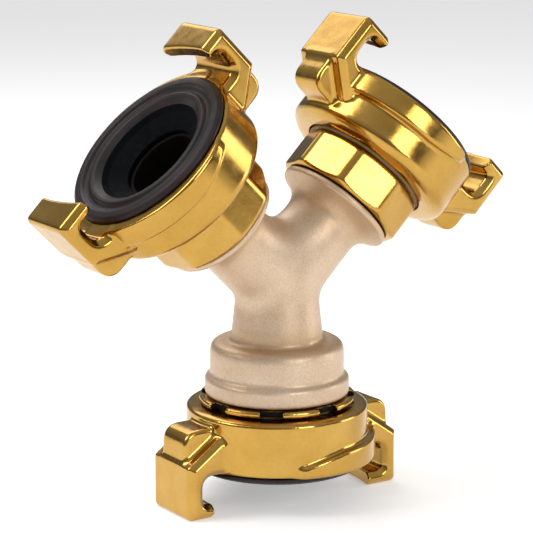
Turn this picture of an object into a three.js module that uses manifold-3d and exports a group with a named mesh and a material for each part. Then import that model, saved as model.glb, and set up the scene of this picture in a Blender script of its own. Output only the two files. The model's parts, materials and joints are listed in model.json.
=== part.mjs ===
// Y-shaped hose splitter with three swivelling claw couplings.
// Millimetres, +Z up. The inlet points down the trunk, the two outlets lie in the XZ plane.
// The origin is under the middle of the part, level with the front of the inlet claws.
import * as THREE from 'three';
import { mergeVertices } from 'three/addons/utils/BufferGeometryUtils.js';
import Module from 'manifold-3d';

const wasm = await Module();
wasm.setup();

// ---- driving dimensions -------------------------------------------------
const BRANCH_ANGLE = THREE.MathUtils.degToRad(45); // each outlet axis, measured from +Z
const OUTLET_REACH = 43.4; // junction to the front of an outlet claw ring
const INLET_REACH = 37.4; // junction to the front of the inlet claw ring
const GAP = 0.3; // clearance between neighbouring pieces

const TRUNK_BORE = 7;
const BRANCH_BORE = 6.5;
const WAIST_RADIUS = 8.9; // trunk just below the junction
const NECK_RADIUS = 9.6; // trunk just above the collar
const NECK_END = 12.4; // junction to the collar's shoulder
const COLLAR_RADIUS = 14.2;
const BEAD_RADIUS = 15.3;
const BEAD_START = 20.2;
const COLLAR_END = 23.8;
const BRANCH_RADIUS = 8.2;
const FLARE_START = 14.5;
const FLANGE_RADIUS = 13.3;
const FLANGE_START = 20.1;
const FLANGE_END = 21.3;

const THREAD_RADIUS = 10.4; // male threads, as plain cylinders
const SOCKET_RADIUS = 10.75; // female threads, as plain bores
const THREAD_LENGTH = 5.6;
const INLET_THREAD_LENGTH = 7;
const GASKET_HOLE = 8.2;
const GASKET_THICKNESS = 1.5;

const NUT_FLAT = 13.3; // axis to a flat
const NUT_SIDES = 8;
const NUT_CHAMFER = 1.2;
const LEFT_NUT_TURN = 8.8; // degrees, from the photograph
const RIGHT_NUT_TURN = -21;
const SPANNER_RADIUS = 16.6; // slotted collar of the inlet adapter
const SPANNER_THICKNESS = 1.3;
const SPANNER_SLOTS = 8;
const SLOT_TURN = -7.4; // degrees, from the photograph
const SLOT_WIDTH = 4.6;
const SLOT_DEPTH = 1.5;

const RING_RADIUS = 19.3;
const OUTLET_RING = { length: 12.2, rearRadius: 15.6, shoulder: 2.4 };
const INLET_RING = { length: 11.6, rearRadius: 17.4, shoulder: 0.8 };
const RING_BORE = 12.35;
const SEAL_RECESS_RADIUS = 17.3;
const SEAL_RECESS_DEPTH = 6;
const WASHER_RADIUS = 14;
const WASHER_THICKNESS = 0.9;

const SPIGOT_RADIUS = 12;
const SPIGOT_BORE = 7.5;
const SPIGOT_TIP = -4;
const SNAP_GROOVE = { rear: -6, front: -4.7, floor: 11.1 };
const O_RING_GROOVE = { rear: -10.6, front: -8.2, floor: 9.95 };
const O_RING_THICKNESS = 0.9; // radius of the round section

const EAR_HALF_WIDTH = 7.8;
const EAR_OUTER = 26.4;
const EAR_INNER = 22.8;
const LIP_INNER = 20.1; // half the claw distance
const LIP_CURVE = 53; // radius of the lip's hollow inner edge
const LIP_SKEW = 6; // the edge's hollow is off centre, so the lip is deeper on one side
const LIP_REAR = 6;
const LIP_FRONT = 9;
const RIB_HALF_WIDTH = 4.5;
const RIB_REAR = -9.4;
const RIB_OUTER = 25.9;
const RIB_ROUND = 4.2;

const RING_SEGMENTS = 36;
const SMALL_SEGMENTS = 24;

// ---- materials ----------------------------------------------------------
const finish = (color, roughness, metalness) => new THREE.MeshStandardMaterial({ color, roughness, metalness });
const castBrass = finish(0xd8c3ae, 0.55, 0.6);
const polishedBrass = finish(0xd4a53a, 0.2, 1);
const rubber = finish(0x241d1f, 0.6, 0);
const springSteel = finish(0x8c8f94, 0.35, 1);
const nylon = finish(0xe6e2d6, 0.5, 0);
const fibre = finish(0x9a3b2c, 0.8, 0);

// ---- solids -------------------------------------------------------------
function toSolid(geometry) {
  const bare = new THREE.BufferGeometry();
  bare.setAttribute('position', geometry.getAttribute('position'));
  if (geometry.index) bare.setIndex(geometry.index);
  const merged = mergeVertices(bare, 1e-4);
  const vertProperties = new Float32Array(merged.getAttribute('position').array);
  const triVerts = new Uint32Array(merged.index.array);
  return new wasm.Manifold(new wasm.Mesh({ numProp: 3, vertProperties, triVerts }));
}

function toGeometry(solid) {
  const { vertProperties, triVerts } = solid.getMesh();
  const geometry = new THREE.BufferGeometry();
  geometry.setAttribute('position', new THREE.BufferAttribute(vertProperties, 3));
  geometry.setIndex(new THREE.BufferAttribute(triVerts, 1));
  geometry.computeVertexNormals();
  return geometry;
}

const union = (first, ...rest) => rest.reduce((whole, piece) => whole.add(piece), first);
const cut = (first, ...rest) => rest.reduce((whole, piece) => whole.subtract(piece), first);

// A ring turned about Z. The outline is a list of [radius, z], anticlockwise with z up.
function revolve(outline, segments = RING_SEGMENTS) {
  const points = [...outline, outline[0]].map(([radius, z]) => new THREE.Vector2(radius, z));
  return toSolid(new THREE.LatheGeometry(points, segments).rotateX(Math.PI / 2));
}

// A round bar on Z from one height to the other.
function bar(radius, from, to, segments = RING_SEGMENTS) {
  const shape = new THREE.CylinderGeometry(radius, radius, to - from, segments);
  return toSolid(shape.rotateX(Math.PI / 2).translate(0, 0, (from + to) / 2));
}

// A plate whose outline is drawn in the XZ plane, centred on Y.
function plate(shape, halfWidth, curveSegments = 6) {
  const options = { depth: 2 * halfWidth, bevelEnabled: false, curveSegments };
  const geometry = new THREE.ExtrudeGeometry(shape, options);
  return toSolid(geometry.rotateX(Math.PI / 2).translate(0, halfWidth, 0));
}

const polygon = (points) => new THREE.Shape(points.map(([x, y]) => new THREE.Vector2(x, y)));
const turned = (solid, degrees) => solid.rotate([0, 0, degrees]);

// ---- the cast body, with the junction at its origin ----------------------
function trunk() {
  const round = 2.2; // corner radius of the collar's shoulder
  const corner = [0, 0.25, 0.5, 0.75, 1].map((t) => {
    const angle = (t * Math.PI) / 2;
    return [COLLAR_RADIUS - round + round * Math.sin(angle), -NECK_END - round + round * Math.cos(angle)];
  });
  const rise = 0.9; // height of the bead's upper slope
  const outline = [
    [2, 6], [WAIST_RADIUS, 4], [WAIST_RADIUS, -3], [NECK_RADIUS, 1 - NECK_END],
    [NECK_RADIUS + 0.6, -NECK_END], ...corner,
    [COLLAR_RADIUS, rise - BEAD_START], [BEAD_RADIUS, -BEAD_START],
    [BEAD_RADIUS, 0.5 - COLLAR_END], [BEAD_RADIUS - 0.5, -COLLAR_END], [2, -COLLAR_END],
  ];
  return revolve(outline.reverse());
}

function branch() {
  const flare = [0, 0.35, 0.65, 0.85, 1].map((t) => [
    BRANCH_RADIUS + (FLANGE_RADIUS - BRANCH_RADIUS) * t ** 3,
    FLARE_START + (FLANGE_START - FLARE_START) * t,
  ]);
  const tip = FLANGE_END + THREAD_LENGTH;
  const outline = [
    [2, -2], [BRANCH_RADIUS, -2], ...flare, [FLANGE_RADIUS, FLANGE_END],
    [THREAD_RADIUS, FLANGE_END], [THREAD_RADIUS, tip - 0.6], [THREAD_RADIUS - 0.6, tip], [2, tip],
  ];
  return revolve(outline);
}

function yBody() {
  const lean = THREE.MathUtils.radToDeg(BRANCH_ANGLE);
  const outward = (solid, side) => solid.rotate([0, side * lean, 0]);
  const tip = FLANGE_END + THREAD_LENGTH;
  const socketEnd = COLLAR_END - INLET_THREAD_LENGTH - GASKET_THICKNESS - 2 * GAP;
  const whole = union(trunk(), outward(branch(), -1), outward(branch(), 1));
  const ways = union(
    bar(TRUNK_BORE, -COLLAR_END - 1, 0),
    bar(SOCKET_RADIUS, -COLLAR_END - 1, -socketEnd),
    outward(bar(BRANCH_BORE, 0, tip + 1), -1),
    outward(bar(BRANCH_BORE, 0, tip + 1), 1),
    toSolid(new THREE.IcosahedronGeometry(TRUNK_BORE, 2)),
  );
  return cut(whole, ways);
}

// ---- port pieces: Z points out of the port, zero is the front of the claw ring ----
// The spigot that a claw ring turns on, with its two grooves, as an outline from its root.
function spigotOutline(root) {
  const { rear, front, floor } = O_RING_GROOVE;
  return [
    [SPIGOT_RADIUS, root], [SPIGOT_RADIUS, rear], [floor, rear], [floor, front], [SPIGOT_RADIUS, front],
    [SPIGOT_RADIUS, SNAP_GROOVE.rear], [SNAP_GROOVE.floor, SNAP_GROOVE.rear],
    [SNAP_GROOVE.floor, SNAP_GROOVE.front], [SPIGOT_RADIUS, SNAP_GROOVE.front],
    [SPIGOT_RADIUS, SPIGOT_TIP - 0.4], [SPIGOT_RADIUS - 0.4, SPIGOT_TIP], [SPIGOT_BORE, SPIGOT_TIP],
  ];
}

const bearingFace = (ringLength) => -ringLength - 0.4; // face that the thrust washer runs on

function outletNut(turn) {
  const front = bearingFace(OUTLET_RING.length);
  const rear = FLANGE_END + GAP - OUTLET_REACH;
  const seat = FLANGE_END + THREAD_LENGTH + 2 * GAP + GASKET_THICKNESS - OUTLET_REACH;
  const corner = NUT_FLAT / Math.cos(Math.PI / NUT_SIDES);
  const prism = bar(corner, rear, front, NUT_SIDES);
  const chamfers = revolve([
    [2, rear], [NUT_FLAT - 0.2, rear], [corner + 0.2, rear + NUT_CHAMFER],
    [corner + 0.2, front - NUT_CHAMFER], [NUT_FLAT - 0.2, front], [2, front],
  ]);
  const spigot = revolve([[SPIGOT_BORE, front - 1], ...spigotOutline(front - 1)], SMALL_SEGMENTS);
  const head = cut(
    turned(prism, 180 / NUT_SIDES + turn).intersect(chamfers),
    bar(SPIGOT_BORE, rear - 1, front + 1, SMALL_SEGMENTS),
    bar(SOCKET_RADIUS, rear - 1, seat, SMALL_SEGMENTS),
  );
  return head.add(spigot);
}

function inletAdapter() {
  const front = bearingFace(INLET_RING.length);
  const rear = front - SPANNER_THICKNESS;
  const tip = COLLAR_END - INLET_REACH - INLET_THREAD_LENGTH;
  const whole = revolve([
    [SPIGOT_BORE, tip], [THREAD_RADIUS - 0.6, tip], [THREAD_RADIUS, tip + 0.6], [THREAD_RADIUS, rear],
    [SPANNER_RADIUS - 0.3, rear], [SPANNER_RADIUS, rear + 0.3],
    [SPANNER_RADIUS, front - 0.3], [SPANNER_RADIUS - 0.3, front],
    ...spigotOutline(front),
  ]);
  const slot = new THREE.BoxGeometry(2 * SLOT_DEPTH, SLOT_WIDTH, 2 * SPANNER_THICKNESS);
  const tool = toSolid(slot.translate(SPANNER_RADIUS, 0, (rear + front) / 2));
  const slots = Array.from({ length: SPANNER_SLOTS }, (_, i) => turned(tool, SLOT_TURN + (360 / SPANNER_SLOTS) * i));
  return cut(whole, ...slots);
}

// The hook of one claw, at +X. Its lip reaches in over the front of the mating ring.
function hook() {
  const outline = polygon([
    [16, 0], [EAR_INNER - 0.9, 0], [EAR_INNER, 0.9], [EAR_INNER, LIP_REAR], [17, LIP_REAR], [17, LIP_FRONT],
    [EAR_OUTER - 0.8, LIP_FRONT], [EAR_OUTER, LIP_FRONT - 0.8], [EAR_OUTER, -2.4],
    [RING_RADIUS - 0.3, -7.6], [16, -7.6],
  ]);
  const edgeCentre = LIP_INNER - Math.sqrt(LIP_CURVE ** 2 - LIP_SKEW ** 2);
  const edge = bar(LIP_CURVE, LIP_REAR - 1, LIP_FRONT + 1, 4 * RING_SEGMENTS);
  return cut(plate(outline, EAR_HALF_WIDTH), edge.translate([edgeCentre, -LIP_SKEW, 0]));
}

// The rib behind the hook, which carries its load back to the ring.
function rib() {
  const shape = new THREE.Shape();
  shape.moveTo(16, -1.5);
  shape.lineTo(16, RIB_REAR);
  shape.lineTo(RIB_OUTER - RIB_ROUND, RIB_REAR);
  shape.absarc(RIB_OUTER - RIB_ROUND, RIB_REAR + RIB_ROUND, RIB_ROUND, -Math.PI / 2, 0, false);
  shape.lineTo(RIB_OUTER, -1.5);
  return plate(shape, RIB_HALF_WIDTH);
}

// The ledge that the mating lip slides behind, which thins out away from the claw.
// Each section is an angle from the claw in degrees, an outer radius and a depth.
function ledge() {
  const sections = [
    [12, 21.2, 5], [27, 21.1, 4.9], [42, 21, 4.8], [57, 21, 4.7], [68, 20.9, 4.6],
    [78, 20.8, 4.5], [88, 20.6, 3.9], [98, 20.4, 3], [106, 20.1, 2.2], [111, 18.8, 1.8],
  ];
  const inner = RING_RADIUS - 1.2;
  const top = 0.2;
  const positions = sections.flatMap(([degrees, outer, depth]) => {
    const angle = THREE.MathUtils.degToRad(degrees);
    const corners = [[inner, -depth], [outer, -depth], [outer, top], [inner, top]];
    return corners.flatMap(([r, z]) => [r * Math.cos(angle), r * Math.sin(angle), z]);
  });
  const index = [0, 1, 2, 0, 2, 3];
  for (let i = 0; i < sections.length - 1; i += 1) {
    for (let k = 0; k < 4; k += 1) {
      const [a, b] = [4 * i + k, 4 * i + ((k + 1) % 4)];
      index.push(a, a + 4, b, b, a + 4, b + 4);
    }
  }
  const last = 4 * (sections.length - 1);
  index.push(last, last + 2, last + 1, last, last + 3, last + 2);
  const geometry = new THREE.BufferGeometry();
  geometry.setAttribute('position', new THREE.Float32BufferAttribute(positions, 3));
  geometry.setIndex(index);
  return toSolid(geometry);
}

function clawRing({ length, rearRadius, shoulder }) {
  const rear = -length;
  const recess = rear + WASHER_THICKNESS + GAP - 0.2;
  const edge = [0, 0.33, 0.67, 1].map((t) => [
    rearRadius + (RING_RADIUS - rearRadius) * Math.sin((t * Math.PI) / 2),
    rear + shoulder * (1 - Math.cos((t * Math.PI) / 2)),
  ]);
  const ring = revolve([
    [RING_BORE, recess], [WASHER_RADIUS + GAP, recess], [WASHER_RADIUS + GAP, rear],
    ...edge, [RING_RADIUS, -0.4], [RING_RADIUS - 0.4, 0], [SEAL_RECESS_RADIUS, 0],
    [SEAL_RECESS_RADIUS, -SEAL_RECESS_DEPTH], [RING_BORE, -SEAL_RECESS_DEPTH],
  ]);
  const claw = cut(union(hook(), rib(), ledge()), bar(RING_RADIUS - 0.6, -length, 0.01));
  return union(ring, claw, turned(claw, 180));
}

function lipSeal() {
  const [outer, rear] = [SEAL_RECESS_RADIUS - GAP, GAP - SEAL_RECESS_DEPTH];
  return revolve([
    [14, rear], [outer, rear], [outer, 0.3], [18.7, 0.3], [18.8, 0.8], [18, 1.5], [16.6, 1.7],
    [15.8, 1], [15, 0.9], [14.2, 1.5], [13.4, 1.4], [12, 0.3], [11.5, -0.8], [8, -2.9],
    [8, SPIGOT_TIP + GAP], [14, SPIGOT_TIP + GAP],
  ], SMALL_SEGMENTS);
}

function oRing() {
  const middle = (O_RING_GROOVE.rear + O_RING_GROOVE.front) / 2;
  const radius = O_RING_GROOVE.floor + GAP + O_RING_THICKNESS;
  const torus = new THREE.TorusGeometry(radius, O_RING_THICKNESS, 6, SMALL_SEGMENTS);
  return toSolid(torus.translate(0, 0, middle));
}

// An open retaining ring, with a gap that lets it spring over the spigot.
function snapRing() {
  const [rear, front] = [SNAP_GROOVE.rear + GAP, SNAP_GROOVE.front - GAP];
  const [inner, outer] = [SNAP_GROOVE.floor + GAP, SPIGOT_RADIUS + 1.5];
  const whole = revolve([[inner, rear], [outer, rear], [outer, front], [inner, front]], SMALL_SEGMENTS);
  return whole.subtract(toSolid(new THREE.BoxGeometry(6, 3.2, 4).translate(outer, 0, rear)));
}

function thrustWasher(length) {
  const [rear, front] = [-length - 0.2, WASHER_THICKNESS - length - 0.2];
  const inner = SPIGOT_RADIUS + GAP;
  return revolve([[inner, rear], [WASHER_RADIUS, rear], [WASHER_RADIUS, front], [inner, front]], SMALL_SEGMENTS);
}

function gasket(rear) {
  const front = rear + GASKET_THICKNESS;
  const outer = THREAD_RADIUS - 0.1;
  return revolve([[GASKET_HOLE, rear], [outer, rear], [outer, front], [GASKET_HOLE, front]], SMALL_SEGMENTS);
}

// ---- assembly -----------------------------------------------------------
function piece(name, solid, material) {
  const mesh = new THREE.Mesh(toGeometry(solid), material);
  mesh.name = name;
  return mesh;
}

// The pieces that every port has, with the gasket's rear face at a height of its own.
function port(name, ring, gasketRear) {
  const pieces = new THREE.Group();
  pieces.add(
    piece(`${name}_claw_ring`, clawRing(ring), polishedBrass),
    piece(`${name}_lip_seal`, lipSeal(), rubber),
    piece(`${name}_o_ring`, oRing(), rubber),
    piece(`${name}_snap_ring`, snapRing(), springSteel),
    piece(`${name}_thrust_washer`, thrustWasher(ring.length), nylon),
    piece(`${name}_gasket`, gasket(gasketRear), fibre),
  );
  return pieces;
}

function outlet(name, turn, nutTurn) {
  const gasketRear = FLANGE_END + THREAD_LENGTH + GAP - OUTLET_REACH;
  const pieces = port(name, OUTLET_RING, gasketRear);
  pieces.add(piece(`${name}_nut`, outletNut(nutTurn), polishedBrass));
  pieces.position.set(-OUTLET_REACH * Math.sin(BRANCH_ANGLE), 0, OUTLET_REACH * Math.cos(BRANCH_ANGLE));
  pieces.rotation.y = -BRANCH_ANGLE;
  const side = new THREE.Group();
  side.rotation.z = turn;
  side.add(pieces);
  return side;
}

function inlet() {
  const gasketRear = COLLAR_END - INLET_THREAD_LENGTH - INLET_REACH - GAP - GASKET_THICKNESS;
  const pieces = port('inlet', INLET_RING, gasketRear);
  pieces.add(piece('inlet_adapter', inletAdapter(), polishedBrass));
  pieces.position.z = -INLET_REACH;
  pieces.rotation.y = Math.PI;
  return pieces;
}

const group = new THREE.Group();
group.position.z = INLET_REACH + LIP_FRONT;
group.add(
  piece('y_body', yBody(), castBrass),
  inlet(),
  outlet('left', 0, LEFT_NUT_TURN),
  outlet('right', Math.PI, RIGHT_NUT_TURN),
);

export default group;
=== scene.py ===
"""Looks of the three-way hose splitter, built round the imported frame.

Port pieces are shaped in a port's own millimetre frame: Z runs out of the port along its swivel
axis, zero is the front of the claw ring, and the claws stand at +X and -X.
"""
import json
import math

import bmesh
import bpy
import numpy as np
from mathutils import Matrix, Vector


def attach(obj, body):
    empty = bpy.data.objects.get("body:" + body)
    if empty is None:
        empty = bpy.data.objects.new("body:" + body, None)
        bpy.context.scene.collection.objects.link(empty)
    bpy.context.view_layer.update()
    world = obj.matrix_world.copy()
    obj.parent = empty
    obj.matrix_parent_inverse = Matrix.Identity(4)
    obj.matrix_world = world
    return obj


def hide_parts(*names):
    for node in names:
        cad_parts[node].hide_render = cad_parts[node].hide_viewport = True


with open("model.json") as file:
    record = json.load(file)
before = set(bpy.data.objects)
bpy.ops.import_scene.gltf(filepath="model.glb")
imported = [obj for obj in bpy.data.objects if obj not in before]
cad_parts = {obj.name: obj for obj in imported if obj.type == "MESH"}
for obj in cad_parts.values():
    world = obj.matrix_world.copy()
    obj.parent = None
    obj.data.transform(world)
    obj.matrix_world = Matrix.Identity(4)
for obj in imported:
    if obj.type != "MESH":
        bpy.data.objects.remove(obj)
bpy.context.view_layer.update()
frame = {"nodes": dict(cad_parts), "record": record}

MM = 0.001
NO_CUT = -9.0  # a field value deep inside, for where a cut does not apply
RECORD = frame["record"]
JOINTS = {j["name"]: j for j in RECORD["behaviour"]["joints"]}
PORTS = ("inlet", "left", "right")
OUTLETS = ("left", "right")

# ---- sizes in millimetres --------------------------------------------------
VOXEL = 0.3
BODY_VOXEL = 0.4
TURN_STEPS = 160
JUNCTION_TO_INLET, JUNCTION_TO_OUTLET = 37.4, 43.4
GAP = 0.3
TRUNK_BORE, BRANCH_BORE, SOCKET_RADIUS, THREAD_RADIUS = 7.0, 6.5, 10.75, 10.4
WAIST_RADIUS, NECK_RADIUS, NECK_END = 8.9, 9.6, 12.4
COLLAR_RADIUS, BEAD_RADIUS, BEAD_START, COLLAR_END = 14.2, 15.3, 20.2, 23.8
BRANCH_RADIUS, FLARE_START = 8.2, 14.5
CROTCH_FILLET, CROTCH_FILLET_GAIN, TRUNK_FILLET = 2.5, 4.3, 2.0
FLANGE_RADIUS, FLANGE_START, FLANGE_END, BRANCH_TIP = 12.8, 20.1, 21.3, 26.9
SOCKET_END, NUT_SOCKET_DEPTH, INLET_THREAD_LENGTH = 14.7, 7.4, 7
NUT_FLAT, NUT_SIDES, NUT_CHAMFER, NUT_ROUND = 13.3, 8, 0.9, 3.2
NUT_TURN = {"left": 8.8, "right": -21.0}
SPANNER_RADIUS, SPANNER_THICKNESS, SPANNER_SLOTS = 16.6, 1.3, 8
SLOT_TURN, SLOT_WIDTH, SLOT_DEPTH = -7.4, 4.6, 1.5
RING_RADIUS, RING_BORE, RECESS_RADIUS, RECESS_DEPTH = 19.3, 12.35, 17.3, 6.0
RING_REAR = {"inlet": (-11.6, 17.4, 0.8), "left": (-12.2, 15.6, 2.4), "right": (-12.2, 15.6, 2.4)}
WASHER_SEAT_RADIUS, WASHER_SEAT_DEPTH, WASHER_GAP = 14.3, 1.0, 0.4
SPIGOT_RADIUS, SPIGOT_BORE, SPIGOT_TIP = 12.0, 7.5, -4.0
SPIGOT_GROOVES = ((-10.6, -8.2, 9.95), (-6, -4.7, 11.1))  # rear, front and floor radius
CLAW_ROOT = 15  # how far in the claws' outlines start, inside the ring
EAR_HALF_WIDTH, EAR_OUTER, EAR_INNER, EAR_SHOULDER, EAR_FOOT = 7.8, 26.4, 22.8, -2.4, -7.6
LIP_INNER, LIP_CURVE, LIP_SKEW, LIP_REAR, LIP_FRONT = 20.1, 53.0, 6.0, 6.0, 9.0
RIB_HALF_WIDTH, RIB_REAR, RIB_FRONT, RIB_OUTER, RIB_ROUND = 4.5, -9.4, -1.5, 25.9, 4.2
# The ledge that a mating claw slides behind falls away round the ring: degrees from a claw, then
# its radius and how far it starts behind the ring's front.
LEDGE = (
    (12, 21.2, 5.0), (27, 21.1, 4.9), (42, 21.0, 4.8), (57, 21.0, 4.7), (68, 20.9, 4.6), (78, 20.8, 4.5),
    (88, 20.6, 3.9), (98, 20.4, 3.0), (106, 20.1, 2.2), (111, 19.0, 1.8), (116, 18.2, 1.6),
)
# The lip seal's section: radius, height and the rounding of that corner.
SEAL = (
    (14, -5.7, 0.2), (17, -5.7, 0.2), (17, 0.3, 0.1), (18.8, 0.3, 0.3), (18.8, 1.0, 0.5), (18.0, 1.6, 0.5),
    (16.5, 1.7, 0.6), (15.9, 1.0, 0.5), (15.0, 0.9, 0.5), (14.3, 1.55, 0.6), (13.4, 1.4, 0.5),
    (12.1, 0.3, 0.6), (11.5, -0.8, 0.8), (8, -2.9, 0.3), (8, -3.7, 0.3), (14, -3.7, 0.2),
)
SEAL_FUNNEL_RADIUS = 12.6


# ---- frames ----------------------------------------------------------------
def port_matrix(port):
    """A port's own frame in the row frame, still in metres."""
    joint = JOINTS[f"{port}_swivel"]
    z = Vector(joint["axis"]).normalized()
    y = Vector((0, 1, 0))
    x = y.cross(z)
    matrix = Matrix((x, y, z)).transposed().to_4x4()
    matrix.translation = Vector(joint["pos_m"])
    return matrix


def into_frame(points, matrix):
    """Points in metres in the row frame, as millimetres in the matrix's own frame."""
    inverse = np.array(matrix.inverted())
    return (points @ inverse[:3, :3].T + inverse[:3, 3]) / MM


PORT = {port: port_matrix(port) for port in PORTS}
JUNCTION = PORT["inlet"].translation + Vector((0, 0, JUNCTION_TO_INLET * MM))
BODY = Matrix.Translation(JUNCTION)


# ---- distance fields: negative inside, in millimetres ----------------------
def rounded(points, radius, steps=4):
    """The outline with each corner turned into a curve. A radius may be given per corner."""
    points = [np.array(p, float) for p in points]
    count = len(points)
    radii = radius if isinstance(radius, (list, tuple)) else [radius] * count
    outline = []
    for i, corner in enumerate(points):
        before, after = points[i - 1] - corner, points[(i + 1) % count] - corner
        reach = min(np.linalg.norm(before), np.linalg.norm(after)) * 0.48
        before, after = before / np.linalg.norm(before), after / np.linalg.norm(after)
        half = math.acos(max(-1.0, min(1.0, float(before @ after)))) / 2
        cut = min(radii[i] / max(math.tan(half), 1e-3), reach)
        if cut < 0.02:
            outline.append(corner)
            continue
        start, end = corner + before * cut, corner + after * cut
        for k in range(steps + 1):
            t = k / steps
            outline.append((1 - t) ** 2 * start + 2 * t * (1 - t) * corner + t ** 2 * end)
    return outline


def outline_distance(u, v, outline):
    """Signed distance to a closed outline in a plane."""
    best = np.full(u.shape, 1e9)
    inside = np.zeros(u.shape, bool)
    for i, end in enumerate(outline):
        start = outline[i - 1]
        edge = end - start
        wu, wv = u - start[0], v - start[1]
        t = np.clip((wu * edge[0] + wv * edge[1]) / max(edge @ edge, 1e-12), 0, 1)
        best = np.minimum(best, (wu - edge[0] * t) ** 2 + (wv - edge[1] * t) ** 2)
        crosses = (start[1] > v) != (end[1] > v)
        if abs(edge[1]) > 1e-12:
            inside ^= crosses & (u < start[0] + edge[0] * (v - start[1]) / edge[1])
    return np.where(inside, -1, 1) * np.sqrt(best)


def join(a, b, fillet=0.0):
    """Both shapes together, with a fillet where they meet."""
    if np.all(np.asarray(fillet) <= 0):
        return np.minimum(a, b)
    h = np.clip(0.5 + 0.5 * (b - a) / fillet, 0, 1)
    return b * (1 - h) + a * h - fillet * h * (1 - h)


def overlap(a, b, edge=0.0):
    """Where both shapes are, with the edge between them rounded."""
    return -join(-a, -b, edge)


def chamfered(a, b, width):
    """Where a and b overlap, with the edge between them cut back flat."""
    return overlap(overlap(a, b, 0.15), (a + b + width) * math.sqrt(0.5), 0.25)


def turned(p, outline):
    """The solid that an outline of radius and height makes when turned about Z."""
    return outline_distance(np.hypot(p[:, 0], p[:, 1]), p[:, 2], outline)


def leaned(p, angle):
    """Points seen from a frame turned by that angle about Y."""
    c, s = math.cos(angle), math.sin(angle)
    return np.stack([c * p[:, 0] - s * p[:, 2], p[:, 1], s * p[:, 0] + c * p[:, 2]], 1)


# ---- meshes ----------------------------------------------------------------
def new_object(name, mesh):
    piece = bpy.data.objects.new(name, mesh)
    bpy.context.scene.collection.objects.link(piece)
    return piece


def evaluated_mesh(piece):
    graph = bpy.context.evaluated_depsgraph_get()
    return bpy.data.meshes.new_from_object(piece.evaluated_get(graph))


def coordinates(mesh):
    co = np.empty(len(mesh.vertices) * 3, np.float32)
    mesh.vertices.foreach_get("co", co)
    return co.reshape(-1, 3).astype(float)


def finish_piece(piece, body, slot, node, *materials):
    piece.data.materials.clear()
    for material in materials:
        piece.data.materials.append(material)
    piece.data.shade_smooth()
    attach(piece, body)
    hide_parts(node)


def draw_onto(p, field, rounds):
    """Moves points along the field's slope until they lie where it is zero."""
    step = 0.05
    for _ in range(rounds):
        value = field(p)
        slope = np.stack([
            field(p + along * step) - field(p - along * step) for along in np.eye(3)
        ], 1) / (2 * step)
        size = np.maximum((slope ** 2).sum(1), 0.25)
        p = p - slope * (np.clip(value, -0.6, 0.6) / size)[:, None]
    return p


def relaxed(p, edges, rounds):
    """Moves each point halfway to the middle of its neighbours, which undoes small folds."""
    one, other = edges[:, 0], edges[:, 1]
    count = np.bincount(edges.ravel(), minlength=len(p))[:, None]
    for _ in range(rounds):
        total = np.stack([
            np.bincount(one, p[other, k], len(p)) + np.bincount(other, p[one, k], len(p))
            for k in range(3)
        ], 1)
        p = 0.5 * p + 0.5 * total / np.maximum(count, 1)
    return p


def sculpt(node, name, matrix, field, soften=1, voxel=VOXEL, filler=None):
    """A fine even mesh of a CAD node, drawn onto the smooth surface where field is zero.

    The filler is a place and half sizes in millimetres, where the CAD node needs more material
    to start from.
    """
    source = new_object(name + "_rough", frame["nodes"][node].data.copy())
    if filler:
        place, size = filler
        ball = bmesh.new()
        ball.from_mesh(source.data)
        shape = matrix @ Matrix.Translation(Vector(place) * MM)
        shape = shape @ Matrix.Diagonal((*[v * MM for v in size], 1))
        bmesh.ops.create_icosphere(ball, subdivisions=4, radius=1, matrix=shape)
        ball.to_mesh(source.data)
        ball.free()
    remesh = source.modifiers.new("even", "REMESH")
    remesh.mode = "VOXEL"
    remesh.voxel_size = voxel * MM
    mesh = evaluated_mesh(source)
    bpy.data.objects.remove(source)
    p = into_frame(coordinates(mesh), matrix)
    edges = np.empty(len(mesh.edges) * 2, np.int32)
    mesh.edges.foreach_get("vertices", edges)
    edges = edges.reshape(-1, 2)
    p = draw_onto(p, field, 4)
    p = draw_onto(relaxed(p, edges, 9), field, 3)
    p = draw_onto(relaxed(p, edges, 2), field, 2)
    p = relaxed(p, edges, soften)
    back = np.array(matrix)
    world = (p * MM) @ back[:3, :3].T + back[:3, 3]
    mesh.vertices.foreach_set("co", world.astype(np.float32).ravel())
    mesh.update()
    return new_object(name, mesh)


def revolve(name, matrix, outline, steps=TURN_STEPS):
    """A closed ring turned about a port's axis from an anticlockwise outline in millimetres."""
    outline = [o for i, o in enumerate(outline) if np.linalg.norm(o - outline[i - 1]) > 1e-4]
    rows = len(outline)
    verts = []
    for k in range(steps):
        angle = 2 * math.pi * k / steps
        verts += [matrix @ (Vector((r * math.cos(angle), r * math.sin(angle), z)) * MM) for r, z in outline]
    faces = []
    for k in range(steps):
        here, there = k * rows, (k + 1) % steps * rows
        for i in range(rows):
            j = (i + 1) % rows
            faces.append((here + i, there + i, there + j, here + j)[::-1])
    mesh = bpy.data.meshes.new(name)
    mesh.from_pydata(verts, [], faces)
    mesh.update()
    return new_object(name, mesh)


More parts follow.
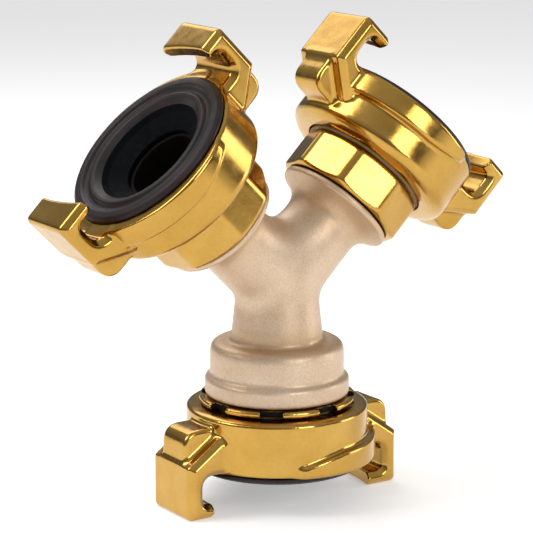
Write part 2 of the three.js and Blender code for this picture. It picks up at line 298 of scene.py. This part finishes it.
# ---- materials -------------------------------------------------------------
class Nodes:
    """A material's node tree, with short calls for the nodes used here."""

    def __init__(self, name):
        self.material = bpy.data.materials.new(name)
        self.material.use_nodes = True
        self.tree = self.material.node_tree
        self.shader = self.tree.nodes["Principled BSDF"]
        self.place = self.tree.nodes.new("ShaderNodeTexCoord").outputs["Object"]

    def link(self, a, b):
        self.tree.links.new(a, b)

    def noise(self, scale, detail=4, roughness=0.5, stretch=None):
        node = self.tree.nodes.new("ShaderNodeTexNoise")
        node.inputs["Scale"].default_value = scale
        node.inputs["Detail"].default_value = detail
        node.inputs["Roughness"].default_value = roughness
        if stretch:
            mapping = self.tree.nodes.new("ShaderNodeMapping")
            mapping.inputs["Scale"].default_value = stretch
            self.link(self.place, mapping.inputs["Vector"])
            self.link(mapping.outputs["Vector"], node.inputs["Vector"])
        else:
            self.link(self.place, node.inputs["Vector"])
        return node.outputs["Fac"]

    def ramp(self, value, *stops):
        node = self.tree.nodes.new("ShaderNodeValToRGB")
        elements = node.color_ramp.elements
        while len(elements) < len(stops):
            elements.new(0.5)
        for element, (position, colour) in zip(elements, stops):
            element.position = position
            element.color = (*colour, 1) if isinstance(colour, tuple) else (colour,) * 3 + (1,)
        self.link(value, node.inputs["Fac"])
        return node.outputs["Color"]

    def mix(self, factor, a, b, blend="MIX"):
        node = self.tree.nodes.new("ShaderNodeMix")
        node.data_type = "RGBA"
        node.blend_type = blend
        for socket, value in ((node.inputs[0], factor), (node.inputs[6], a), (node.inputs[7], b)):
            if isinstance(value, bpy.types.NodeSocket):
                self.link(value, socket)
            else:
                socket.default_value = value if isinstance(value, float) else (*value, 1)
        return node.outputs[2]

    def attribute(self, name):
        node = self.tree.nodes.new("ShaderNodeAttribute")
        node.attribute_name = name
        return node.outputs["Fac"]

    def bump(self, *layers):
        """Height layers of (value, strength, depth in metres), laid on each other."""
        normal = None
        for height, strength, depth in layers:
            node = self.tree.nodes.new("ShaderNodeBump")
            node.inputs["Strength"].default_value = strength
            node.inputs["Distance"].default_value = depth
            self.link(height, node.inputs["Height"])
            if normal:
                self.link(normal, node.inputs["Normal"])
            normal = node.outputs["Normal"]
        self.link(normal, self.shader.inputs["Normal"])

    def set(self, **values):
        for key, value in values.items():
            socket = self.shader.inputs[key.replace("_", " ").title()]
            if isinstance(value, bpy.types.NodeSocket):
                self.link(value, socket)
            else:
                socket.default_value = (*value, 1) if isinstance(value, tuple) else value


def polished_brass():
    n = Nodes("polished_brass")
    broad = n.noise(90, 3)
    colour = n.ramp(
        broad, (0.3, (0.50, 0.285, 0.058)), (0.55, (0.56, 0.33, 0.075)), (0.75, (0.61, 0.385, 0.10)))
    fine = n.noise(1500, 3, 0.6)
    speck = n.ramp(fine, (0.35, (0.72, 0.42, 0.10)), (0.5, (1.0, 1.0, 1.0)))
    n.set(base_color=n.mix(0.12, colour, speck, "MULTIPLY"), metallic=1.0)
    n.set(roughness=n.ramp(n.noise(400, 4), (0.3, 0.13), (0.7, 0.24)))
    n.bump((n.noise(220, 3), 0.18, 0.0002), (fine, 0.06, 0.00003))
    return n.material


def cast_brass():
    n = Nodes("cast_brass")
    colour = n.ramp(
        n.noise(70, 4), (0.3, (0.63, 0.46, 0.31)), (0.6, (0.71, 0.55, 0.40)), (0.8, (0.77, 0.64, 0.52)))
    grain = n.noise(2600, 4, 0.7)
    dust = n.ramp(grain, (0.35, (0.70, 0.62, 0.56)), (0.6, (1.0, 1.0, 1.0)))
    dusted = n.mix(0.5, colour, dust, "MULTIPLY")
    # Golden brown where the attribute made in build_body is high: painted shade and painted reflection of
    # the brass nuts, round the collar's top and on the flares under the outlet nuts.
    n.set(base_color=n.mix(n.attribute("painted_shade"), dusted, (0.50, 0.31, 0.12)), metallic=0.6)
    n.set(roughness=n.ramp(n.noise(900, 3), (0.3, 0.38), (0.7, 0.5)))
    n.bump((n.noise(420, 3), 0.2, 0.0002), (grain, 0.5, 0.00006))
    return n.material


def rubber():
    n = Nodes("rubber")
    colour = n.ramp(n.noise(160, 3), (0.3, (0.010, 0.007, 0.007)), (0.7, (0.026, 0.015, 0.015)))
    n.set(base_color=colour, roughness=n.ramp(n.noise(700, 3), (0.3, 0.36), (0.7, 0.5)))
    n.shader.inputs["Specular IOR Level"].default_value = 0.28
    n.bump((n.noise(1800, 3), 0.25, 0.00004))
    return n.material


# A near-black, bluish, low-shine copy of the rubber for the seal's funnel: painted shade in the hole.
def painted_funnel_shade():
    n = Nodes("painted_funnel_shade")
    colour = n.ramp(n.noise(160, 3), (0.3, (0.0012, 0.0018, 0.0026)), (0.7, (0.0026, 0.0032, 0.0042)))
    n.set(base_color=colour)
    n.set(roughness=n.ramp(n.noise(700, 3), (0.3, 0.65), (0.7, 0.85)))
    n.shader.inputs["Specular IOR Level"].default_value = 0.08
    n.bump((n.noise(1800, 3), 0.25, 0.00004))
    return n.material


# Near-black, rough and not metallic: painted shade in the brass waterway and in the collar's slots.
def painted_bore_shade():
    n = Nodes("painted_bore_shade")
    n.set(base_color=n.ramp(n.noise(300, 3), (0.3, (0.004, 0.004, 0.004)), (0.7, (0.010, 0.007, 0.005))))
    n.shader.inputs["Specular IOR Level"].default_value = 0.1
    n.set(roughness=n.ramp(n.noise(900, 3), (0.3, 0.55), (0.7, 0.75)))
    n.bump((n.noise(1200, 3), 0.3, 0.00008))
    return n.material


def plain(name, dark, light, rough, metallic=0.0, scale=500):
    n = Nodes(name)
    n.set(base_color=n.ramp(n.noise(scale, 4), (0.3, dark), (0.7, light)), metallic=metallic)
    n.set(roughness=n.ramp(n.noise(scale * 3, 3), (0.3, rough - 0.06), (0.7, rough + 0.06)))
    n.bump((n.noise(scale * 4, 3), 0.2, 0.00003))
    return n.material


BRASS, CAST, RUBBER, FUNNEL_SHADE, BORE_SHADE = polished_brass(), cast_brass(), rubber(), painted_funnel_shade(), painted_bore_shade()
STEEL = plain("spring_steel", (0.42, 0.43, 0.45), (0.58, 0.59, 0.61), 0.3, 1.0)
# The thrust washers are dark brown so that their edge between ring and nut reads as a shadow gap: painted
# shade.
SHADED_NYLON = plain("nylon", (0.30, 0.19, 0.07), (0.38, 0.25, 0.10), 0.5)
FIBRE = plain("fibre", (0.30, 0.07, 0.04), (0.45, 0.13, 0.08), 0.8)


# ---- the cast body ---------------------------------------------------------
TRUNK_OUTLINE = rounded([
    (0, -COLLAR_END), (BEAD_RADIUS, -COLLAR_END),
    (BEAD_RADIUS, -BEAD_START), (COLLAR_RADIUS, 0.9 - BEAD_START),
    (COLLAR_RADIUS, -NECK_END), (NECK_RADIUS, -NECK_END), (NECK_RADIUS, 2 - NECK_END),
    (WAIST_RADIUS, -4), (BRANCH_RADIUS - 0.3, 2.5), (0, 5),
], [0, 0.5, 0.6, 0.6, 2.4, 0.9, 2, 4, 0, 0])
BRANCH_OUTLINE = rounded([
    (0, 0), (BRANCH_RADIUS, 0),
    *[(
        BRANCH_RADIUS + (FLANGE_RADIUS - BRANCH_RADIUS) * t ** 3,
        FLARE_START + (FLANGE_START - FLARE_START) * t,
    ) for t in (0, 0.15, 0.3, 0.45, 0.6, 0.7, 0.8, 0.9, 1)],
    (FLANGE_RADIUS, FLANGE_END), (THREAD_RADIUS, FLANGE_END), (THREAD_RADIUS, BRANCH_TIP), (0, BRANCH_TIP),
], [0, 0, *[0] * 8, 0.3, 0.3, 0.1, 0.6, 0])
LEAN = math.atan2(JOINTS["right_swivel"]["axis"][0], JOINTS["right_swivel"]["axis"][2])


def body_outside(p):
    """Trunk and branches, with a fillet that grows towards the top of the crotch."""
    trunk = turned(p, TRUNK_OUTLINE)
    arms = [turned(leaned(p, side * LEAN), BRANCH_OUTLINE) for side in (1, -1)]
    t = np.clip((p[:, 2] + 1) / 13, 0, 1)
    crotch = CROTCH_FILLET + CROTCH_FILLET_GAIN * t * t * (3 - 2 * t)
    return join(join(arms[0], arms[1], crotch), trunk, TRUNK_FILLET)


def body_field(p):
    radius = np.hypot(p[:, 0], p[:, 1])
    bores = join(
        np.maximum(radius - TRUNK_BORE, p[:, 2]),
        np.maximum(radius - SOCKET_RADIUS, p[:, 2] + SOCKET_END),
    )
    bores = join(bores, np.linalg.norm(p, axis=1) - TRUNK_BORE)
    for side in (1, -1):
        q = leaned(p, side * LEAN)
        bores = join(bores, np.maximum(np.hypot(q[:, 0], q[:, 1]) - BRANCH_BORE, -q[:, 2]))
    return overlap(body_outside(p), -bores, 0.3)


def build_body():
    crotch_filler = ((0, 0, 11.6), (3.5, 3.2, 1.9))
    piece = sculpt("y_body", "cast_body", BODY, body_field,
                   soften=2, voxel=BODY_VOXEL, filler=crotch_filler)
    p = into_frame(coordinates(piece.data), BODY)
    # Painted shade and painted nut reflection: a band round the neck at the collar's top and one on each
    # branch's flare under its nut, 0.4 at most, which turns the cast brass golden brown.
    shade_mask = np.clip(1 - np.abs(p[:, 2] + NECK_END - 1.5) / 3.0, 0, 1)
    for side in (1, -1):
        along = leaned(p, side * LEAN)[:, 2]
        shade_mask = np.maximum(shade_mask, np.clip(1 - np.abs(along - FLANGE_START + 2) / 6.0, 0, 1))
    painted_shade = piece.data.attributes.new("painted_shade", "FLOAT", "POINT")
    painted_shade.data.foreach_set("value", (0.4 * shade_mask).clip(0, 1).astype(np.float32))
    finish_piece(piece, "body", "cast_brass", "y_body", CAST)


# ---- port pieces -----------------------------------------------------------
def ring_outline(port):
    rear, rear_radius, shoulder = RING_REAR[port]
    edge = [(
        rear_radius + (RING_RADIUS - rear_radius) * math.sin(t * math.pi / 2),
        rear + shoulder * (1 - math.cos(t * math.pi / 2)),
    ) for t in (0, 0.2, 0.4, 0.6, 0.8, 1)]
    seat = rear + WASHER_SEAT_DEPTH
    points = [
        (RING_BORE, seat), (WASHER_SEAT_RADIUS, seat), (WASHER_SEAT_RADIUS, rear), *edge,
        (RING_RADIUS, 0), (RECESS_RADIUS, 0), (RECESS_RADIUS, -RECESS_DEPTH), (RING_BORE, -RECESS_DEPTH),
    ]
    radii = [0.2, 0.2, 0.2, 0.3, 0.1, 0.1, 0.1, 0.1, 0.3, 0.5, 0.4, 0.2, 0.2]
    return rounded(points, radii)


HOOK_OUTLINE = rounded([
    (CLAW_ROOT, 0), (EAR_INNER, 0), (EAR_INNER, LIP_REAR), (CLAW_ROOT, LIP_REAR), (CLAW_ROOT, LIP_FRONT),
    (EAR_OUTER, LIP_FRONT), (EAR_OUTER, EAR_SHOULDER), (RING_RADIUS - 0.3, EAR_FOOT), (CLAW_ROOT, EAR_FOOT),
], [0, 2.7, 1.6, 0, 0, 1.2, 0.8, 0.4, 0], steps=6)
RIB_OUTLINE = rounded([
    (CLAW_ROOT, RIB_FRONT), (CLAW_ROOT, RIB_REAR), (RIB_OUTER, RIB_REAR), (RIB_OUTER, RIB_FRONT),
], [0, 0, RIB_ROUND, 0.5], steps=8)


def claws(p):
    """Both claws, by folding the half turn onto one side."""
    side = np.where(p[:, 0] < 0, -1.0, 1.0)
    x, y, z = p[:, 0] * side, p[:, 1] * side, p[:, 2]
    hook = chamfered(outline_distance(x, z, HOOK_OUTLINE), np.abs(y) - EAR_HALF_WIDTH, 1.2)
    centre = LIP_INNER - math.sqrt(LIP_CURVE ** 2 - LIP_SKEW ** 2)
    behind_lip = LIP_CURVE - np.hypot(x - centre, y + LIP_SKEW)
    lip_cut = np.where(z > LIP_REAR - 1, behind_lip, NO_CUT)
    hook = overlap(hook, lip_cut, 0.6)
    rib = chamfered(outline_distance(x, z, RIB_OUTLINE), np.abs(y) - RIB_HALF_WIDTH, 0.5)
    return join(hook, rib, 1.2)


def ledge(p):
    angle = np.degrees(np.arctan2(p[:, 1], p[:, 0])) % 180
    radius = np.hypot(p[:, 0], p[:, 1])
    angles, radii, depths = zip(*LEDGE)
    outer = np.interp(angle, angles, radii)
    depth = np.interp(angle, angles, depths)
    band = overlap(radius - outer, -depth - p[:, 2], 0.7)
    return overlap(overlap(band, p[:, 2] - 0.2, 0.7), RECESS_RADIUS + 0.4 - radius, 0)


def ring_field(port):
    outline = ring_outline(port)

    def field(p):
        radius = np.hypot(p[:, 0], p[:, 1])
        room = np.where(p[:, 2] < LIP_REAR / 2, RING_RADIUS - 0.6 - radius, NO_CUT)
        added = np.maximum(join(ledge(p), claws(p), 0.8), room)
        return join(turned(p, outline), added, 0.8)
    return field


def build_ring(port):
    piece = sculpt(f"{port}_claw_ring", f"{port}_claws", PORT[port], ring_field(port))
    finish_piece(piece, f"{port}_claw", "polished_brass", f"{port}_claw_ring", BRASS)


def spigot_points(root):
    """The spigot's outline from its root to its tip, with the seal's and the snap ring's grooves."""
    points = [(SPIGOT_RADIUS, root)]
    for rear, front, floor in SPIGOT_GROOVES:
        points += [(SPIGOT_RADIUS, rear), (floor, rear), (floor, front), (SPIGOT_RADIUS, front)]
    return points + [(SPIGOT_RADIUS, SPIGOT_TIP), (SPIGOT_BORE, SPIGOT_TIP)]


def nut_field(port):
    front = RING_REAR[port][0] - WASHER_GAP
    rear = FLANGE_END + GAP - JUNCTION_TO_OUTLET
    seat = rear + NUT_SOCKET_DEPTH + GAP
    corner = NUT_FLAT / math.cos(math.pi / NUT_SIDES)
    turns = [math.radians(NUT_TURN[port] + (k + 0.5) * 360 / NUT_SIDES) for k in range(NUT_SIDES)]
    octagon = rounded([(corner * math.cos(t), corner * math.sin(t)) for t in turns], NUT_ROUND)
    barrel = rounded([
        (SPIGOT_BORE, seat), (SOCKET_RADIUS, seat), (SOCKET_RADIUS, rear), (NUT_FLAT - 0.2, rear),
        (corner + 0.2, rear + NUT_CHAMFER), (corner + 0.2, front - NUT_CHAMFER), (NUT_FLAT - 0.2, front),
        (SPIGOT_BORE, front),
    ], [0.1, 0.1, 0.3, 0.4, 0.3, 0.3, 0.4, 0])
    spigot = rounded([(SPIGOT_BORE, front - 1), *spigot_points(front - 1)], 0.12)

    def field(p):
        head = overlap(turned(p, barrel), outline_distance(p[:, 0], p[:, 1], octagon), 0.4)
        return join(head, turned(p, spigot))
    return field


def in_slot(p, margin=0.0):
    """Distance to the nearest slot of the inlet's collar, negative inside it."""
    sector = 2 * math.pi / SPANNER_SLOTS
    angle = np.arctan2(p[:, 1], p[:, 0]) - math.radians(SLOT_TURN)
    folded = angle - np.round(angle / sector) * sector
    radius = np.hypot(p[:, 0], p[:, 1])
    across = np.abs(radius * np.sin(folded)) - SLOT_WIDTH / 2
    return np.maximum(across, SPANNER_RADIUS - SLOT_DEPTH - radius) - margin


def paint_shade_inside(piece, matrix, radius, slots=False):
    """Gives the faces within the radius, and the collar's slots, the piece's second material: a rough,
    near-black painted shade in the waterway, the slots and the seal's funnel.
    """
    centres = np.empty(len(piece.data.polygons) * 3, np.float32)
    piece.data.polygons.foreach_get("center", centres)
    p = into_frame(centres.reshape(-1, 3), matrix)
    inside = np.hypot(p[:, 0], p[:, 1]) < radius
    if slots:
        inside |= (in_slot(p, 0.12) < 0) & (p[:, 2] < RING_REAR["inlet"][0])
    piece.data.polygons.foreach_set("material_index", inside.astype(np.int32))


def build_nut(port):
    piece = sculpt(f"{port}_nut", f"{port}_octagon_nut", PORT[port], nut_field(port))
    finish_piece(piece, "body", "polished_brass", f"{port}_nut", BRASS, BORE_SHADE)
    paint_shade_inside(piece, PORT[port], SPIGOT_RADIUS - 0.3)


def adapter_field(p):
    front = RING_REAR["inlet"][0] - WASHER_GAP
    rear = front - SPANNER_THICKNESS
    tip = COLLAR_END - JUNCTION_TO_INLET - INLET_THREAD_LENGTH
    outline = rounded([
        (SPIGOT_BORE, tip), (THREAD_RADIUS, tip), (THREAD_RADIUS, rear), (SPANNER_RADIUS, rear),
        (SPANNER_RADIUS, front), *spigot_points(front),
    ], 0.15)
    return overlap(turned(p, outline), -in_slot(p), 0.2)


def build_adapter():
    piece = sculpt("inlet_adapter", "slotted_adapter", PORT["inlet"], adapter_field)
    finish_piece(piece, "body", "polished_brass", "inlet_adapter", BRASS, BORE_SHADE)
    paint_shade_inside(piece, PORT["inlet"], SPIGOT_BORE + 1.0, slots=True)


def build_seal(port):
    outline = rounded([(radius, height) for radius, height, _ in SEAL], [rounding for *_, rounding in SEAL])
    piece = revolve(f"{port}_rubber_seal", PORT[port], outline)
    # The funnel's faces take the near-black rubber copy, painted shade.
    finish_piece(piece, f"{port}_claw", "rubber", f"{port}_lip_seal", RUBBER, FUNNEL_SHADE)
    paint_shade_inside(piece, PORT[port], SEAL_FUNNEL_RADIUS)


def dress_hidden():
    """Pieces inside the couplings keep their CAD shape and take a finish."""
    finishes = {"o_ring": RUBBER, "snap_ring": STEEL, "thrust_washer": SHADED_NYLON, "gasket": FIBRE}
    for port in PORTS:
        for part, material in finishes.items():
            node = frame["nodes"][f"{port}_{part}"]
            node.data.materials.clear()
            node.data.materials.append(material)


# ---- camera, floor and light -------------------------------------------------
CAMERA_AZIMUTH, CAMERA_ELEVATION, CAMERA_DISTANCE = -33.7, 12.81, 0.5
AIM_AZIMUTH, AIM_ELEVATION, LENS = -33.44, 12.44, 160.3
LIGHT_DISTANCE = 0.6
FLOOR_SIDES, FLOOR_RADIUS = 96, 9.0


def direction(azimuth, elevation):
    a, e = math.radians(azimuth), math.radians(elevation)
    return Vector((math.sin(a) * math.cos(e), -math.cos(a) * math.cos(e), math.sin(e)))


def add_camera():
    data = bpy.data.cameras.new("camera")
    data.lens = LENS
    data.sensor_width = 36
    data.clip_start, data.clip_end = 0.01, 20
    camera = bpy.data.objects.new("camera", data)
    camera.location = JUNCTION + direction(CAMERA_AZIMUTH, CAMERA_ELEVATION) * CAMERA_DISTANCE
    camera.rotation_mode = "QUATERNION"
    camera.rotation_quaternion = (-direction(AIM_AZIMUTH, AIM_ELEVATION)).to_track_quat("-Z", "Y")
    bpy.context.scene.collection.objects.link(camera)
    bpy.context.scene.camera = camera


def add_floor():
    turns = [2 * math.pi * k / FLOOR_SIDES for k in range(FLOOR_SIDES)]
    rim = [(FLOOR_RADIUS * math.cos(t), FLOOR_RADIUS * math.sin(t), 0) for t in turns]
    mesh = bpy.data.meshes.new("floor")
    mesh.from_pydata(rim, [], [tuple(range(FLOOR_SIDES))])
    floor = new_object("floor", mesh)
    n = Nodes("floor")
    n.set(base_color=(0.93, 0.93, 0.93), roughness=0.9)
    n.set(emission_color=(1.0, 1.0, 1.0), emission_strength=0.36)
    mesh.materials.append(n.material)


def add_area(name, azimuth, elevation, size, power):
    data = bpy.data.lights.new(name, "AREA")
    data.shape = "RECTANGLE"
    data.size, data.size_y = size
    data.energy = power
    light = bpy.data.objects.new(name, data)
    toward = direction(azimuth, elevation)
    light.location = JUNCTION + toward * LIGHT_DISTANCE
    light.rotation_mode = "QUATERNION"
    light.rotation_quaternion = toward.to_track_quat("Z", "Y")
    bpy.context.scene.collection.objects.link(light)


def add_world():
    """A soft grey gradient in the brass's reflections, and plain white behind the object."""
    world = bpy.data.worlds.new("studio")
    world.use_nodes = True
    tree = world.node_tree
    background = tree.nodes["Background"]
    coordinates_node = tree.nodes.new("ShaderNodeTexCoord")
    separate = tree.nodes.new("ShaderNodeSeparateXYZ")
    tree.links.new(coordinates_node.outputs["Generated"], separate.inputs[0])
    ramp = tree.nodes.new("ShaderNodeValToRGB")
    stops = ((0.0, 0.20), (0.45, 0.18), (0.55, 0.12), (0.72, 0.30), (1.0, 0.55))
    while len(ramp.color_ramp.elements) < len(stops):
        ramp.color_ramp.elements.new(0.5)
    for element, (position, value) in zip(ramp.color_ramp.elements, stops):
        element.position = position
        element.color = (value, value, value, 1)
    half = tree.nodes.new("ShaderNodeMath")
    half.operation = "MULTIPLY_ADD"
    half.inputs[1].default_value = 0.5
    half.inputs[2].default_value = 0.5
    tree.links.new(separate.outputs["Z"], half.inputs[0])
    tree.links.new(half.outputs[0], ramp.inputs["Fac"])
    path = tree.nodes.new("ShaderNodeLightPath")
    mix = tree.nodes.new("ShaderNodeMix")
    mix.data_type = "RGBA"
    tree.links.new(path.outputs["Is Camera Ray"], mix.inputs[0])
    tree.links.new(ramp.outputs["Color"], mix.inputs[6])
    mix.inputs[7].default_value = (1, 1, 1, 1)
    tree.links.new(mix.outputs[2], background.inputs["Color"])
    bpy.context.scene.world = world


def add_lights():
    add_area("key", -108, 48, (0.24, 0.40), 1.9)
    add_area("front", 4, 20, (0.20, 0.28), 1.0)
    add_area("fill", 66, 8, (0.22, 0.30), 0.75)
    add_area("back", 165, 45, (0.4, 0.4), 0.9)


add_camera()
add_floor()
add_world()
add_lights()
build_body()
for port in PORTS:
    build_ring(port)
    build_seal(port)
for port in OUTLETS:
    build_nut(port)
build_adapter()
dress_hidden()
bpy.context.scene.view_settings.view_transform = "Standard"
